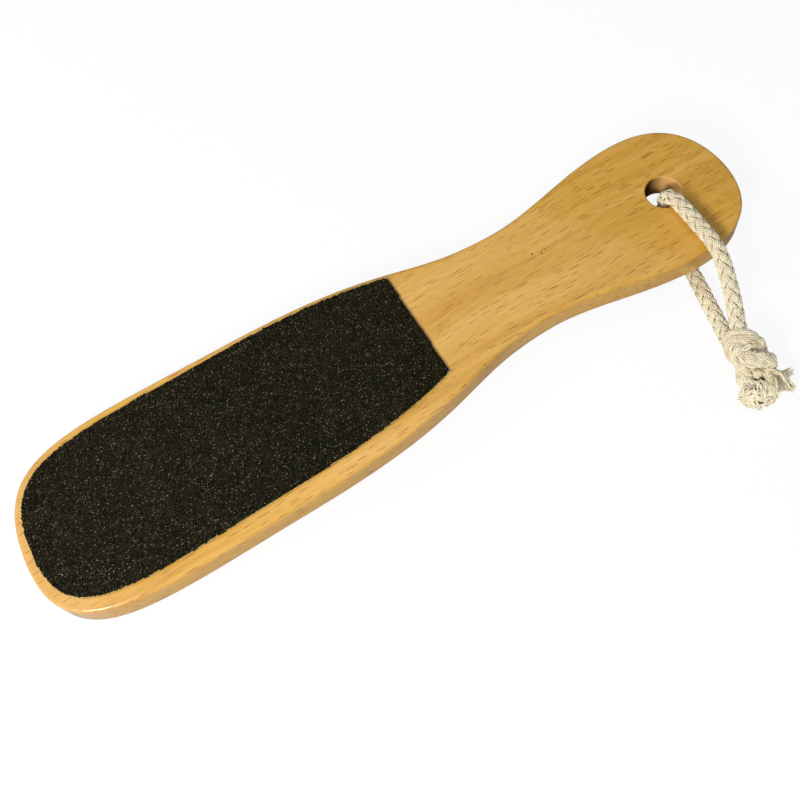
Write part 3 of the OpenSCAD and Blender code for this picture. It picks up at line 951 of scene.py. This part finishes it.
# at the front sheet's two cut corners the knife pulled out a few of the cloth's threads
threads = {"count": 4, "length": 0.65, "thickness": 0.13, "spread": 0.35, "clothShare": 0.6, "seed": 9}


def cornerThreads():
    rng = random.Random(threads["seed"])
    cut = sheet["reach"] - halfLength
    edge = float(np.interp(cut, *sheetEdge()))
    lines = []
    for side in (1, -1):
        corner = np.array(sheetCast(sheet["front"]) @ Vector((cut, side * edge, 0)))
        corner[0] = cut
        corner[2] = halfThick + sheet["glue"] + sheet["cloth"] * threads["clothShare"]
        for _ in range(threads["count"]):
            away = (rng.uniform(-threads["spread"], 0), -side * rng.uniform(0, threads["spread"]), 0)
            lift = np.array([rng.uniform(0, 0.25), side * rng.uniform(0, 0.25), rng.uniform(0.5, 0.8)])
            back = np.array([rng.uniform(-0.9, 0.2), -side * rng.uniform(-0.2, 0.9), 0.1])
            t = np.linspace(0, 1, 6)[:, None]
            bow = lift * np.sin(t * math.pi / 2) + back * t * t
            lines.append(corner + away + threads["length"] * bow)
    return lines


threadMesh = yarnMesh("clothThreads", cornerThreads(), threads["thickness"], 1)
threadMesh.transform(laid)
newObject("clothThreads", threadMesh, lightenedCotton, "file")
print("sheets:", len(frontGrit.data.polygons), len(rearGrit.data.polygons), "faces")


# white paper under the object, in metres, and a room that hardly lights it
studio = {"halfSize": 20, "bounce": "#b4b4b4", "paper": "#f2f2f2", "plainShare": 0.87, "plain": 1.03,
          "roomStrength": 0.03}
bm = bmesh.new()
bmesh.ops.create_grid(bm, x_segments=1, y_segments=1, size=studio["halfSize"])
floorMesh = meshFrom(bm, "floor")
floor = bpy.data.objects.new("floor", floorMesh)
scene.collection.objects.link(floor)
floorMaterial, tree, shader = newMaterial("white paper floor")
shader.inputs["Roughness"].default_value = 0.9
# the camera sees it mostly plain white, with a faint shadow; it throws little light back up
seen = addNode(tree, "LightPath").outputs["Is Camera Ray"]
paper = addNode(tree, "Mix", {
    "Factor": seen, "A": hexColor(studio["bounce"]), "B": hexColor(studio["paper"])}, data_type="RGBA")
tree.links.new(paper.outputs["Result"], shader.inputs["Base Color"])
share = addNode(tree, "Math", {0: seen, 1: studio["plainShare"]}, operation="MULTIPLY")
plain = addNode(tree, "Emission", {"Color": (1, 1, 1, 1), "Strength": studio["plain"]})
blend = addNode(tree, "MixShader", {
    0: share.outputs[0], 1: shader.outputs[0], 2: plain.outputs[0]})
tree.links.new(blend.outputs[0], tree.nodes["Material Output"].inputs["Surface"])
floorMesh.materials.append(floorMaterial)

# past the floor the camera sees plain white, while the room itself gives hardly any light
world = bpy.data.worlds.new("world")
world.use_nodes = True
worldSeen = addNode(world.node_tree, "LightPath")
strength = addNode(world.node_tree, "MapRange", {
    "Value": worldSeen.outputs["Is Camera Ray"], 1: 0.0, 2: 1.0, 3: studio["roomStrength"], 4: 1.0})
background = world.node_tree.nodes["Background"]
background.inputs["Color"].default_value = (1, 1, 1, 1)
world.node_tree.links.new(strength.outputs[0], background.inputs["Strength"])
scene.world = world

# all lamps aim at the part's middle, if they don't say otherwise
lamps = {
    "key": {"place": (-0.42, -0.29, 0.38), "size": 0.16, "power": 3.1, "color": "#fffaf0"},
    "side": {"place": (-0.42, 0.34, 0.4), "size": 0.2, "power": 1.6, "color": "#ffffff"},
    "top": {"place": (0.08, 0.02, 1.05), "aim": (0.05, 0, 0), "size": 1.2, "power": 3.4,
            "color": "#f6f9ff"},
    "right": {"place": (0.42, -0.42, 0.2), "aim": (0.06, -0.03, 0), "size": 0.4, "power": 0.85,
              "color": "#ffffff"},
}
for name, lamp in lamps.items():
    data = bpy.data.lights.new(name, "AREA")
    data.size = lamp["size"]
    data.energy = lamp["power"]
    data.color = hexColor(lamp["color"])[:3]
    holder = bpy.data.objects.new(name, data)
    holder.location = lamp["place"]
    back = Vector(lamp["place"]) - Vector(lamp.get("aim", (0, 0, 0)))
    holder.rotation_euler = back.to_track_quat("Z", "Y").to_euler()
    # the two fill lights leave no lines of light of their own on the rim
    holder.visible_glossy = name not in ("side", "right")
    scene.collection.objects.link(holder)

loopPath, loopRun = smoothLine(cordRoute, 1.0)
